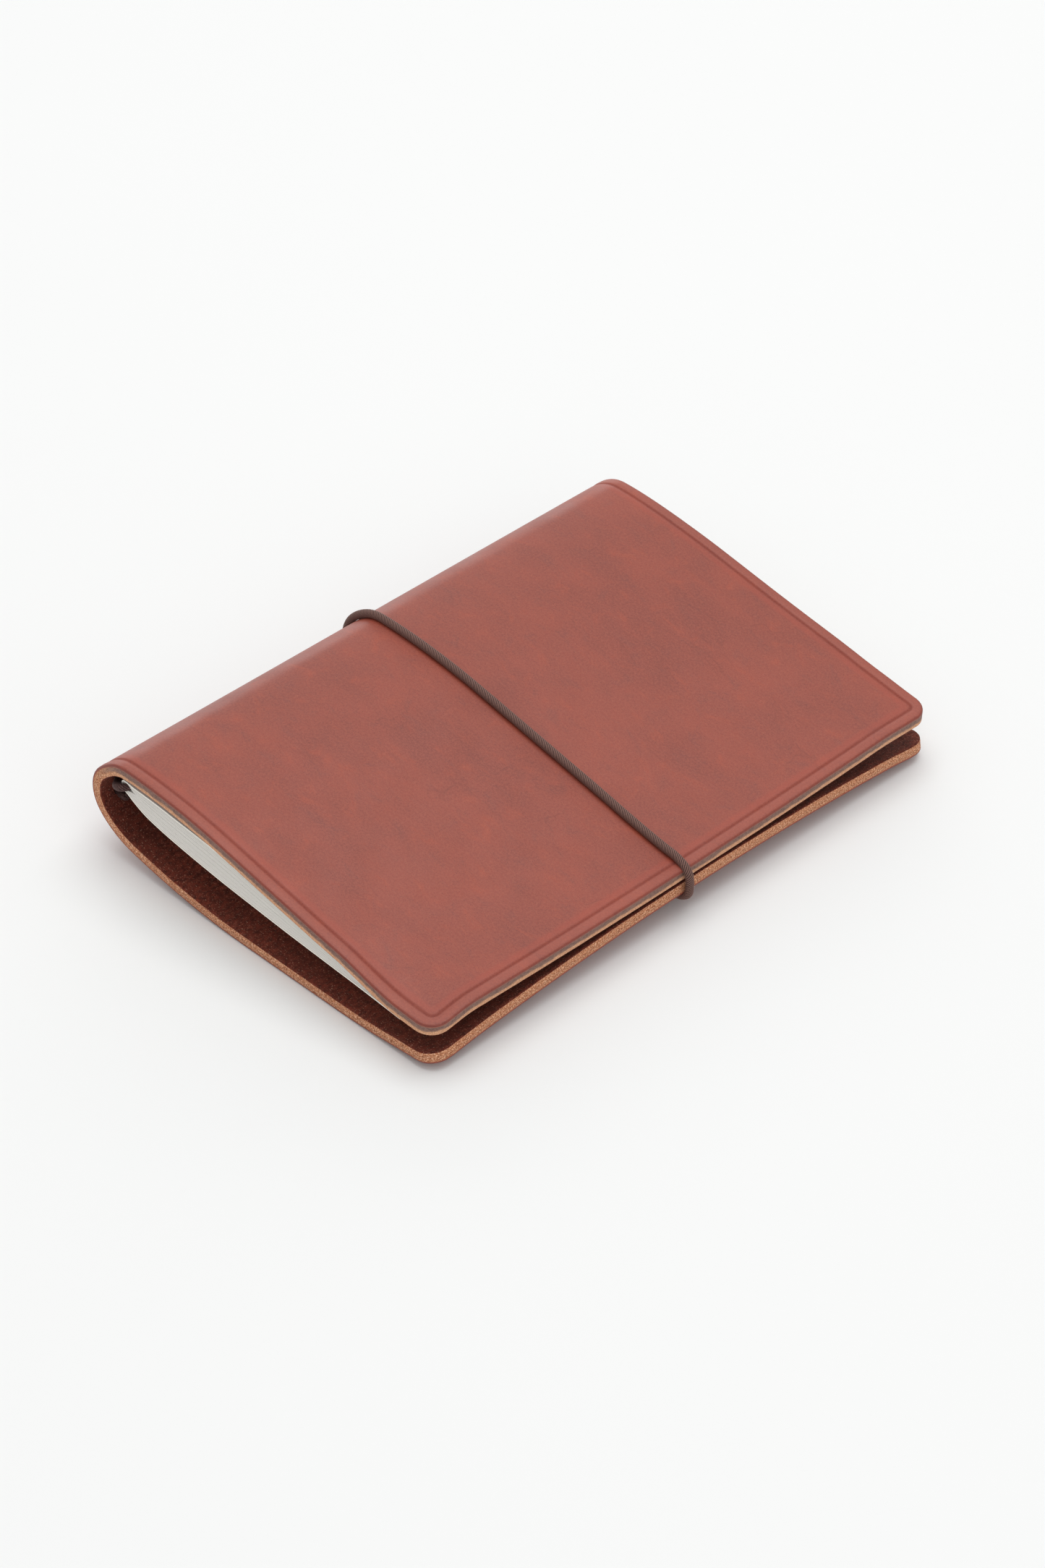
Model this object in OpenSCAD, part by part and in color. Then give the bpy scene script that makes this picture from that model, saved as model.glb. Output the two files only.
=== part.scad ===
// Leather notebook cover, closed, lying on its back leaf.
// X runs from the spine (-X) to the fore-edge (+X), Y from the tail (-Y) to the head (+Y), Z up.
// The origin is at the middle of the base of the bounding box, on the surface the cover lies on.

/* [Leather cover] */
// Height of the cover, tail to head
cover_l = 144; // [130:1:160]
// Thickness of the leather
leather_t = 2.8; // [2.2:0.1:3]
// Radius of the two fore-edge corners of each leaf
corner_r = 4.5; // [3:0.5:8]
// Rise of the back leaf at mid height, where the closure cord passes under it
belly_lift = 2; // [1.9:0.1:2.6]
// Extra rise of the back leaf's fore-edge at mid height, where the cord pulls it up
edge_lift = 1.2; // [0:0.1:1.2]
// Rise of the front leaf's two fore-edge corners above its middle
corner_flare = 1.5; // [0:0.1:2]
// How far the front leaf's corner at the tail droops out of that rise
corner_droop = 1.4; // [0:0.1:1.5]

/* [Cords] */
// Diameter of the closure cord and of the refill cord
cord_d = 1.8; // [1.2:0.1:1.8]
// Diameter of the holes punched for the refill cord
hole_d = 2.6; // [2.2:0.1:3]

/* [Booklet] */
// Height of the booklet
booklet_l = 142; // [120:1:142]
// Thickness of the card of the booklet's own cover
card_t = 0.35; // [0.2:0.05:0.5]
// Folded sections of sheets in the booklet
sections = 3; // [3:1:3]

/* [Hidden] */
$fn = 32;

leather = [0.64, 0.36, 0.31];
cord_brown = [0.36, 0.27, 0.25];
paper_white = [0.93, 0.91, 0.87];
card_white = [0.96, 0.94, 0.91];
steel = [0.75, 0.75, 0.77];

// ---- the cover's outer face in the X-Z plane, as arcs and lines that run into each other ----
// Each piece is [radius, turn in degrees], or [length, 0] for a straight line.
belly_x0 = -10.3;
belly_x1 = 22;
belly_mid_x = 6;
hinge_gap_turn = 0.9;
back_arcs = [[118, -14.5], [15, -35.5], [10.5, -5]];
spine_arcs = [[10.5, -35], [10, -48]];
front_arcs = [[10, -42], [150, -11.5], [41, 0], [133, 8.5]];
edge_arc = [[163, 9.8]];
deg_per_step = 4.2;

// A step of a walk: state is [x, z, heading].
function step(s, piece, n) =
    let (turn = piece[1] / n,
         len = piece[1] == 0 ? piece[0] / n : 2 * piece[0] * sin(abs(turn) / 2),
         a = s[2] + turn / 2)
    [s[0] + len * cos(a), s[1] + len * sin(a), s[2] + turn];
function steps_of(piece) = piece[1] == 0 ? 2 : max(2, ceil(abs(piece[1]) / deg_per_step));
function walk_piece(s, piece, n, k) =
    k == 0 ? [] : let (t = step(s, piece, n)) concat([t], walk_piece(t, piece, n, k - 1));
function walk(s, pieces, i = 0) =
    i == len(pieces) ? [] :
    let (n = steps_of(pieces[i]), part = walk_piece(s, pieces[i], n, n))
    concat(part, walk(part[len(part) - 1], pieces, i + 1));
function last(v) = v[len(v) - 1];
function shorten(pieces) =
    [for (i = [0 : len(pieces) - 1])
        i < len(pieces) - 1 ? pieces[i] : [pieces[i][0], pieces[i][1] + hinge_gap_turn]];
function shorten_first(pieces) =
    [for (i = [0 : len(pieces) - 1])
        i > 0 ? pieces[i] : [pieces[i][0], pieces[i][1] + hinge_gap_turn]];

belly_start = [belly_x0, 0, 180];
lower_axis = last(walk(belly_start, back_arcs));
upper_axis = last(walk(lower_axis, spine_arcs));
spine_start = step(lower_axis, [spine_arcs[0][0], -hinge_gap_turn], 1);
front_start = step(upper_axis, [front_arcs[0][0], -hinge_gap_turn], 1);

// The back leaf, from its fore-edge to the lower hinge line
edge_walk = concat([[belly_x1, 0, 0]], walk([belly_x1, 0, 0], edge_arc));
edge_back = [for (i = [len(edge_walk) - 1 : -1 : 0])
             [edge_walk[i][0], edge_walk[i][1], 180 + edge_walk[i][2]]];
back_path = concat(edge_back, [[belly_mid_x, 0, 180], belly_start], walk(belly_start, shorten(back_arcs)));
spine_path = concat([spine_start], walk(spine_start, shorten(shorten_first(spine_arcs))));
front_path = concat([front_start], walk(front_start, shorten_first(front_arcs)));
front_edge_x = last(front_path)[0];
back_edge_x = back_path[0][0];

function inward(s, d) = [s[0] + d * cos(s[2] - 90), s[1] + d * sin(s[2] - 90)];
function outline(path, d0, d1) =
    concat([for (s = path) inward(s, d0)],
           [for (i = [len(path) - 1 : -1 : 0]) inward(path[i], d1)]);

// ---- how the leaves bow along Y ----
rest_strip = 6;
bow_half = cover_l / 2 - rest_strip;
function clamp01(v) = min(1, max(0, v));
function bow(y) = max(0, 1 - pow(y / bow_half, 2));
function back_rise(x) = belly_lift * clamp01((x + 40) / 25) + edge_lift * pow(clamp01((x - 30) / 20), 2);
function front_rise(x) = corner_flare * pow(clamp01((x - 15) / 35), 1.5);
function back_warp(x, y) = back_rise(x) * bow(y);
function ease(v) = let (c = clamp01(v)) c * c * (3 - 2 * c);
function tail_droop(x, y) = corner_droop * ease((x - 27) / 18) * ease((-y - 60) / 12);
function front_warp(x, y) = front_rise(x) * pow(2 * y / cover_l, 2) - tail_droop(x, y);

// Half height of a leaf at x, with its rounded fore-edge corners
function half_l(x, edge_x) =
    let (into = x - (edge_x - corner_r))
    into <= 0 ? cover_l / 2
              : cover_l / 2 - corner_r + sqrt(max(0, pow(corner_r, 2) - pow(into, 2)));

// Rows across a leaf: close together at the ends, where the rest strips are
row_y = [-1, -bow_half / (cover_l / 2), -0.74, -0.54, -0.34, -0.14, 0.14, 0.34, 0.54, 0.74,
         bow_half / (cover_l / 2), 1];

// Extra stations so that the rounded corners come out round
corner_turns = [12, 30, 48, 66, 80];
function between(path, x) =
    let (hits = [for (i = [0 : len(path) - 2])
                 if ((path[i][0] - x) * (path[i + 1][0] - x) <= 0 && path[i][0] != path[i + 1][0]) i],
         i = last(hits),
         f = (x - path[i][0]) / (path[i + 1][0] - path[i][0]))
    path[i] + f * (path[i + 1] - path[i]);
function corner_stations(path, edge_x) =
    [for (a = corner_turns) between(path, edge_x - corner_r + corner_r * sin(a))];
function away_from_corner(path, edge_x) = [for (s = path) if (s[0] < edge_x - corner_r - 0.5) s];
function rev(v) = [for (i = [len(v) - 1 : -1 : 0]) v[i]];

back_stations = concat([back_path[0]], rev(corner_stations(edge_back, back_edge_x)),
                       [between(edge_back, back_edge_x - corner_r)],
                       away_from_corner(back_path, back_edge_x));
front_tail = [for (i = [len(front_path) - 8 : len(front_path) - 1]) front_path[i]];
front_stations = concat(away_from_corner(front_path, front_edge_x),
                        [between(front_tail, front_edge_x - corner_r)],
                        corner_stations(front_tail, front_edge_x), [last(front_path)]);

// A leaf: its outer and inner faces follow the stations, and the warp lifts them along Y.
module leaf(stations, edge_x, is_front) {
    ns = len(stations);
    nr = len(row_y);
    function node_at(s, r, d) =
        let (p = inward(s, d), y = row_y[r] * half_l(s[0], edge_x),
             rise = is_front ? front_warp(s[0], y) : back_warp(s[0], y))
        [p[0], y, p[1] + rise];
    outer = [for (s = stations) for (r = [0 : nr - 1]) node_at(s, r, 0)];
    inner = [for (s = stations) for (r = [0 : nr - 1]) node_at(s, r, leather_t)];
    m = ns * nr;
    faces = concat(
        [for (i = [0 : ns - 2]) for (r = [0 : nr - 2]) for (t = [0, 1])
            t == 0 ? [i * nr + r, i * nr + r + 1, (i + 1) * nr + r + 1]
                   : [i * nr + r, (i + 1) * nr + r + 1, (i + 1) * nr + r]],
        [for (i = [0 : ns - 2]) for (r = [0 : nr - 2]) for (t = [0, 1])
            t == 0 ? [m + i * nr + r, m + (i + 1) * nr + r + 1, m + i * nr + r + 1]
                   : [m + i * nr + r, m + (i + 1) * nr + r, m + (i + 1) * nr + r + 1]],
        [for (i = [0 : ns - 2]) for (t = [0, 1])
            t == 0 ? [i * nr, (i + 1) * nr, m + (i + 1) * nr] : [i * nr, m + (i + 1) * nr, m + i * nr]],
        [for (i = [0 : ns - 2]) for (t = [0, 1])
            let (a = i * nr + nr - 1, b = (i + 1) * nr + nr - 1)
            t == 0 ? [a, m + b, b] : [a, m + a, m + b]],
        [for (r = [0 : nr - 2]) for (t = [0, 1])
            t == 0 ? [r, m + r + 1, r + 1] : [r, m + r, m + r + 1]],
        [for (r = [0 : nr - 2]) for (t = [0, 1])
            let (a = (ns - 1) * nr + r)
            t == 0 ? [a, a + 1, m + a + 1] : [a, m + a + 1, m + a]]);
    polyhedron(points = concat(outer, inner), faces = faces, convexity = 6);
}

// ---- cords: an eight-sided tube swept along a list of points ----
function unit(v) = v / norm(v);
function tangent(p, i) =
    i == 0 ? unit(p[1] - p[0])
    : i == len(p) - 1 ? unit(p[i] - p[i - 1])
    : unit(unit(p[i + 1] - p[i]) + unit(p[i] - p[i - 1]));
function sides_along(p, i, s) =
    let (t = tangent(p, i), u = unit(s - (s * t) * t))
    i == len(p) - 1 ? [u] : concat([u], sides_along(p, i + 1, u));
module tube(p, d) {
    sides = 8;
    start = abs(tangent(p, 0)[1]) < 0.9 ? [0, 1, 0] : [1, 0, 0];
    u = sides_along(p, 0, start);
    rings = [for (i = [0 : len(p) - 1]) for (k = [0 : sides - 1])
             p[i] + d / 2 * (cos(45 * k) * u[i] + sin(45 * k) * cross(tangent(p, i), u[i]))];
    n = len(p);
    walls = [for (i = [0 : n - 2]) for (k = [0 : sides - 1]) for (t = [0, 1])
             let (a = i * sides + k, b = i * sides + (k + 1) % sides)
             t == 0 ? [a, a + sides, b + sides] : [a, b + sides, b]];
    caps = [[for (k = [0 : sides - 1]) k], [for (k = [sides - 1 : -1 : 0]) (n - 1) * sides + k]];
    polyhedron(points = rings, faces = concat(walls, caps), convexity = 6);
}

// ---- closure cord: one loop round the closed cover, both ends through a hole in the back leaf ----
cord_r = cord_d / 2;
cord_hole_x = -24;
cord_hole_d = 4.4;
cord_hole_depth = 12;
cord_off = cord_r + 0.1;
closure_knot_z = 6.15;
closure_knot_ring_r = 1.6;
closure_knot_core_d = 2.6;
closure_knot_core_rise = 0.2;
// Underside of the back leaf from the knot to the fore-edge, then up round both fore-edges
under_route = [[-24, 1.05, 5.7], [-24, 1.05, 4.4], [-23.9, 1.05, 2.2], [-22.6, 1, 1.15],
               [-19, 0.8, 0.95], [-10, 0.3, 0.95], [0, -0.2, 0.95], [12, -0.7, 0.95],
               [24, -1.2, 1], [32, -1.5, 1.2], [40, -1.8, 1.9],
               [45, -2, 2.8], [48.6, -2.1, 3.8], [50.4, -2.1, 5.1], [51, -2.1, 6.6], [51.04, -2, 8.5],
               [51, -2, 10.4], [50.8, -2, 11.7], [50, -2, 12.7], [48.6, -2, 13]];
// Over the front leaf to the top of the bend
over_start_x = 45;
function over_y(x) = -1 - 0.9 * pow(clamp01((x - 20) / 30), 2);
over_route = [for (s = rev(front_path)) if (s[0] < over_start_x)
              let (p = inward(s, -cord_off)) [p[0], over_y(p[0]), p[1]]];
// Round the outside of the spine and back under the leaf to the hole
bend_path = concat(rev(spine_path),
                   [for (i = [len(back_path) - 1 : -1 : len(back_path) - 9]) back_path[i]]);
bend_route = [for (s = bend_path) let (p = inward(s, -cord_off)) [p[0], -1, p[1]]];
return_route = [[-36, -1.02, 1.75], [-30, -1.04, 1.1], [-26.6, -1.05, 1.1], [-24.2, -1.05, 2.1],
                [-24, -1.05, 4.4], [-24, -1.05, 5.7]];
bend_keep = [for (p = bend_route) if (p[2] > 3) p];
closure_route = concat(under_route, over_route, bend_keep, return_route);

// ---- refill cord: along the booklet's fold and out through two holes at each end of the spine ----
fold_x = -40.1;
fold_z = 20;
hole_y = 67.5;
hole_z_in = 15.8;
hole_z_out = 12.6;
hole_start_x = -52;
hole_depth = 8;
refill_knot_at = [-44.5, 13];
refill_knot_d = 3;
// Half of the route, from the knot at the tail end to the middle of the fold
refill_half = [[-45.4, -hole_y, 12.9], [-47.4, -hole_y, 12.7], [-50, -hole_y, 12.6],
               [-50.85, -hole_y, 13.3], [-50.95, -hole_y, 14.3], [-50.8, -hole_y, 15.2], [-49.4, -hole_y, 15.8],
               [-46.6, -hole_y, 16.2], [-44.2, -68.8, 17.4], [-42.2, -70.6, 18.9], [-40.9, -71, 19.7],
               [-40.2, -69.6, 20], [-40.1, -66, 20], [-40.1, -40, 20], [-40.1, -14, 20]];
refill_route = concat(refill_half, [for (i = [len(refill_half) - 1 : -1 : 0])
                      [refill_half[i][0], -refill_half[i][1], refill_half[i][2]]]);

// ---- the booklet: nested folded sections and a card cover, split at the fold ----
fold_axis = [-41.6, 20.4];
body_gap = 0.15;
sheet_gap = 0.05;
leaf_clear = 0.4;
channel_d = cord_d + 0.3;
exit_d = 3.2;
staple_y = 32;
staple_l = 12;
staple_d = 0.5;
page_x = [-41.1, -38, -35, -30, -24, -13, -2, 8, 18, 29, 36, 43];
mid_z = [20.25, 19.5, 18.9, 18.1, 17.3, 15.9, 14.2, 12.8, 11.4, 9.9, 9, 8.1];
low_z = [18.7, 16.9, 15.6, 14.4, 13.4, 12, 11, 10.2, 9.5, 8.7, 7.9, 7.2];
inner_walk = [for (s = front_path) inward(s, leather_t + leaf_clear)];
function top_at(x) = x < -39 ? 21.95 : between(inner_walk, x)[1];
top_z = [for (x = page_x) top_at(x)];

// Height of a sheet that lies a fraction f of the way from the middle of the booklet to its card
function sheet_z(outer_z, side, i, f) =
    let (m = mid_z[i] + side * body_gap, card_face = outer_z[i] - side * (card_t + sheet_gap))
    m + (card_face - m) * f;
function band(z0, z1) =
    let (n = len(page_x))
    concat([for (i = [0 : n - 1]) [page_x[i], z0[i]]], [for (i = [n - 1 : -1 : 0]) [page_x[i], z1[i]]]);
function sheets(outer_z, side, f0, f1) =
    band([for (i = [0 : len(page_x) - 1]) sheet_z(outer_z, side, i, f0)],
         [for (i = [0 : len(page_x) - 1]) sheet_z(outer_z, side, i, f1)]);
function card(outer_z, side) = band([for (z = outer_z) z - side * card_t], outer_z);

module along_y(l) {
    translate([0, l / 2, 0]) rotate([90, 0, 0]) linear_extrude(l) children();
}

module fold_channel() {
    translate([fold_x, 0, fold_z]) rotate([90, 0, 0])
        cylinder(d = channel_d, h = booklet_l + 2, center = true);
    for (end = [-1, 1])
        translate([fold_x - 1.3, end * booklet_l / 2, fold_z - 0.6]) sphere(d = exit_d);
}

// The inner sections end at the cord; only the outer section and the card go round behind it
module behind_cord() {
    depth = 10;
    translate([fold_x + 0.75 - depth, -booklet_l, fold_z - depth]) cube([depth, 2 * booklet_l, 2 * depth]);
}

// Half of a folded section; k counts from the middle of the booklet outwards
module section_half(outer_z, side, k) {
    color(paper_white) difference() {
        along_y(booklet_l) polygon(sheets(outer_z, side, (k - 1) / sections, k / sections - 0.02));
        fold_channel();
        if (k < sections) behind_cord();
    }
}

module card_half(outer_z, side) {
    color(card_white) difference() {
        along_y(booklet_l) polygon(card(outer_z, side));
        fold_channel();
    }
}

// ---- one module for each sub-part ----
module back_leaf() {
    color(leather) difference() {
        leaf(back_stations, back_edge_x, false);
        translate([cord_hole_x, 0, 0]) cylinder(d = cord_hole_d, h = cord_hole_depth);
    }
}

module front_leaf() {
    color(leather) leaf(front_stations, front_edge_x, true);
}

module spine_strip() {
    color(leather) difference() {
        along_y(cover_l) polygon(outline(spine_path, 0, leather_t));
        for (end = [-1, 1]) {
            for (z = [hole_z_in, hole_z_out])
                translate([hole_start_x, end * hole_y, z]) rotate([0, 90, 0])
                    cylinder(d = hole_d, h = hole_depth);
        }
    }
}

module closure_cord() {
    color(cord_brown) tube(closure_route, cord_d);
}

// The overhand knot that stops both ends of the closure cord inside the back leaf
module closure_knot() {
    color(cord_brown) translate([cord_hole_x, 0, closure_knot_z]) union() {
        rotate_extrude() translate([closure_knot_ring_r, 0]) circle(d = cord_d);
        translate([0, 0, closure_knot_core_rise]) sphere(d = closure_knot_core_d);
    }
}

module refill_cord() {
    color(cord_brown) tube(refill_route, cord_d);
}

// The two small knots inside the spine that stop the refill cord
module refill_knots() {
    color(cord_brown) for (end = [-1, 1])
        translate([refill_knot_at[0], end * hole_y, refill_knot_at[1]]) rotate([0, 90, 0])
            sphere(d = refill_knot_d);
}

module staples() {
    color(steel) for (end = [-1, 1])
        translate([fold_axis[0], end * staple_y, fold_axis[1]]) rotate([90, 0, 0])
            cylinder(d = staple_d, h = staple_l, center = true);
}

back_leaf();
closure_cord();
closure_knot();
card_half(low_z, -1);  // booklet_card_back
section_half(low_z, -1, 1);  // section_back_1
section_half(low_z, -1, 2);  // section_back_2
section_half(low_z, -1, 3);  // section_back_3
spine_strip();
refill_cord();
refill_knots();
front_leaf();
card_half(top_z, 1);  // booklet_card_front
section_half(top_z, 1, 1);  // section_front_1
section_half(top_z, 1, 2);  // section_front_2
section_half(top_z, 1, 3);  // section_front_3
staples();
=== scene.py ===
"""Leather notebook cover: its looks, in the CAD's frame: +X spine to fore-edge, +Y tail to head, +Z up.

Shapes are worked out in millimetres and become metres in new_mesh.
"""
import math

import bpy
import numpy as np
from mathutils import Matrix, Vector, noise


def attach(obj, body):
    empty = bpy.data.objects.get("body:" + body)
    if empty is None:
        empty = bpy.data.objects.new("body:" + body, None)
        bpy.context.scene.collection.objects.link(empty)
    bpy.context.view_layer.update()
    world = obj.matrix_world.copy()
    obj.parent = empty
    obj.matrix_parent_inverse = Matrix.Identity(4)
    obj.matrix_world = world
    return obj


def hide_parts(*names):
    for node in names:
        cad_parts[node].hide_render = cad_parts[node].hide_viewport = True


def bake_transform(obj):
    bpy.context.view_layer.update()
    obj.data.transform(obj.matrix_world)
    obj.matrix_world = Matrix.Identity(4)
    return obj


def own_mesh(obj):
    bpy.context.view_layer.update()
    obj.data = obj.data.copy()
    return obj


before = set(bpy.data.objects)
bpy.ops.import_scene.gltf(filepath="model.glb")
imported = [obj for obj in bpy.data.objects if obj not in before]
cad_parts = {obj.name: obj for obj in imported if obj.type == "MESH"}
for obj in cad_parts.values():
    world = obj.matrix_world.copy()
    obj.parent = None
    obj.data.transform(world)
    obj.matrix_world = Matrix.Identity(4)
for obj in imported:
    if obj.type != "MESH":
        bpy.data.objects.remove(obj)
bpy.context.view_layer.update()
MM = 0.001

# ---------------------------------------------------------------- the cover's outer face
COVER_L = 144.0
HALF_L = COVER_L / 2
THICK = 2.8
CORNER_R = 4.5
# Arcs (radius, turn in degrees) and straight lines (length, 0) from the back leaf's fore-edge round the spine
PROFILE = [(163, -9.8), (26.67, 0), (143, -14), (16, -36), (10, -40), (9.6, -90),
           (150, -11.5), (41.35, 0), (133, 8.5)]
PROFILE_START = (49.744, 2.3785, 189.8)


def profile_pieces():
    """(start s, x, z, heading in radians, length, curvature) of each piece of the outer face."""
    x, z, heading = PROFILE_START
    heading = math.radians(heading)
    s, found = 0.0, []
    for size, turn in PROFILE:
        turn = math.radians(turn)
        length = size if turn == 0 else size * abs(turn)
        bend = turn / length
        found.append((s, x, z, heading, length, bend))
        if bend:
            x += (math.sin(heading + turn) - math.sin(heading)) / bend
            z -= (math.cos(heading + turn) - math.cos(heading)) / bend
        else:
            x += length * math.cos(heading)
            z += length * math.sin(heading)
        heading += turn
        s += length
    return found, s


PIECES, STRIP_L = profile_pieces()


def outer(s):
    """x, z and heading of the outer face at developed length s."""
    for s0, x, z, heading, length, bend in PIECES:
        if s <= s0 + length or (s0, x) == PIECES[-1][:2]:
            d = s - s0
            if bend:
                h = heading + bend * d
                return (x + (math.sin(h) - math.sin(heading)) / bend,
                        z - (math.cos(h) - math.cos(heading)) / bend, h)
            return x + d * math.cos(heading), z + d * math.sin(heading), heading


def smooth(v):
    v = min(1.0, max(0.0, v))
    return v * v * (3 - 2 * v)


# Developed lengths: where the back leaf's lift gives way to the front's, and where the bend has ended
SPINE_MID = PIECES[5][0]
FRONT_START = 121.0

# How far the leather leaves its plain profile, in millimetres
CORD_BOW = 2.0
FORE_BOW = 1.2
BACK_CORNER_DROOP = 0.4
FRONT_FLARE = 1.5
TAIL_CORNER_DROOP = 1.5
HEAD_CORNER_DROOP = 0.8
HEAD_WAVE = 0.7
HEAD_HOLLOW = 0.35
SPINE_BULGE = 0.75
SPINE_SLUMP = 0.8


def back_lift(x, y):
    """The back leaf bows up over the cord that lies under it, and its fore-edge corners droop."""
    bow = CORD_BOW * smooth((x + 42) / 32) + FORE_BOW * min(1.0, max(0.0, (x - 30) / 20)) ** 2
    droop = BACK_CORNER_DROOP * smooth((x - 38) / 12) * smooth((abs(y) - 58) / 14)
    return bow * max(0.0, 1 - (y / 66) ** 2) - droop


def front_lift(x, y):
    """The front leaf flares at its fore-edge, droops at both corners and waves a little near its head."""
    flare = FRONT_FLARE * min(1.0, max(0.0, (x - 15) / 35)) ** 1.5 * (y / HALF_L) ** 2
    if y < 0:
        return flare - TAIL_CORNER_DROOP * smooth((x - 22) / 18) * smooth((-y - 60) / 12)
    wave = HEAD_WAVE * math.exp(-((x - 24) / 16) ** 2) - HEAD_HOLLOW * math.exp(-((x + 20) / 14) ** 2)
    droop = HEAD_CORNER_DROOP * smooth((x - 36) / 14) * smooth((y - 55) / 17)
    return flare + wave * smooth((y - 30) / 42) - droop


def lift(s, x, y):
    return back_lift(x, y) if s < SPINE_MID else front_lift(x, y)


def leather_point(s, y, depth):
    """The place in space of a point of the flat strip, depth millimetres in from the outer face."""
    x, z, h = outer(s)
    nx, nz = math.sin(h), -math.cos(h)
    # the bend isn't quite round: it bulges outwards low down and slumps higher up, most of all at the tail
    tail = 1 - 0.5 * smooth((y + HALF_L) / COVER_L)
    x -= SPINE_BULGE * tail * math.exp(-((s - 101) / 8) ** 2)
    z -= SPINE_SLUMP * tail * math.exp(-((s - 115) / 5) ** 2)
    return x + depth * nx, y, z + depth * nz + lift(s, x, y)


# ---------------------------------------------------------------- mesh helpers
def new_mesh(name, points, faces, slots=None, flat=None, values=None, smooth_faces=True):
    """Points in millimetres. flat and values are per point attributes for the materials."""
    mesh = bpy.data.meshes.new(name)
    mesh.from_pydata([[c * MM for c in p] for p in points], [], faces)
    if slots is not None:
        mesh.polygons.foreach_set("material_index", np.array(slots, np.int32))
    if smooth_faces:
        mesh.polygons.foreach_set("use_smooth", np.ones(len(mesh.polygons), bool))
    if flat is not None:
        layer = mesh.attributes.new("flat", "FLOAT_VECTOR", "POINT")
        layer.data.foreach_set("vector", np.array(flat, np.float32).ravel())
    if values is not None:
        layer = mesh.attributes.new("inset", "FLOAT", "POINT")
        layer.data.foreach_set("value", np.array(values, np.float32))
    mesh.update()
    made = bpy.data.objects.new(name, mesh)
    bpy.context.scene.collection.objects.link(made)
    return made


def catmull(points, step):
    """A smooth curve through the points, sampled every step millimetres."""
    p = np.array(points, float)
    p = np.vstack([2 * p[0] - p[1], p, 2 * p[-1] - p[-2]])
    dense = []
    for i in range(1, len(p) - 2):
        a, b, c, d = p[i - 1:i + 3]
        n = max(2, int(np.linalg.norm(c - b) / 0.1))
        # centripetal, so that uneven spacing makes no loops
        t = np.cumsum([0] + [max(1e-6, np.linalg.norm(v)) ** 0.5 for v in (b - a, c - b, d - c)])
        for u in np.linspace(t[1], t[2], n, endpoint=False):
            a1 = (t[1] - u) / (t[1] - t[0]) * a + (u - t[0]) / (t[1] - t[0]) * b
            a2 = (t[2] - u) / (t[2] - t[1]) * b + (u - t[1]) / (t[2] - t[1]) * c
            a3 = (t[3] - u) / (t[3] - t[2]) * c + (u - t[2]) / (t[3] - t[2]) * d
            b1 = (t[2] - u) / (t[2] - t[0]) * a1 + (u - t[0]) / (t[2] - t[0]) * a2
            b2 = (t[3] - u) / (t[3] - t[1]) * a2 + (u - t[1]) / (t[3] - t[1]) * a3
            dense.append((t[2] - u) / (t[2] - t[1]) * b1 + (u - t[1]) / (t[2] - t[1]) * b2)
    dense.append(p[-2])
    dense = np.array(dense)
    along = np.concatenate([[0], np.cumsum(np.linalg.norm(np.diff(dense, axis=0), axis=1))])
    n = max(2, int(round(along[-1] / step)))
    at = np.linspace(0, along[-1], n + 1)
    return np.stack([np.interp(at, along, dense[:, k]) for k in range(3)], -1), at


# ---------------------------------------------------------------- materials
def srgb(r, g, b):
    def line(v):
        v /= 255
        return v / 12.92 if v <= 0.04045 else ((v + 0.055) / 1.055) ** 2.4
    return line(r), line(g), line(b), 1.0


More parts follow.
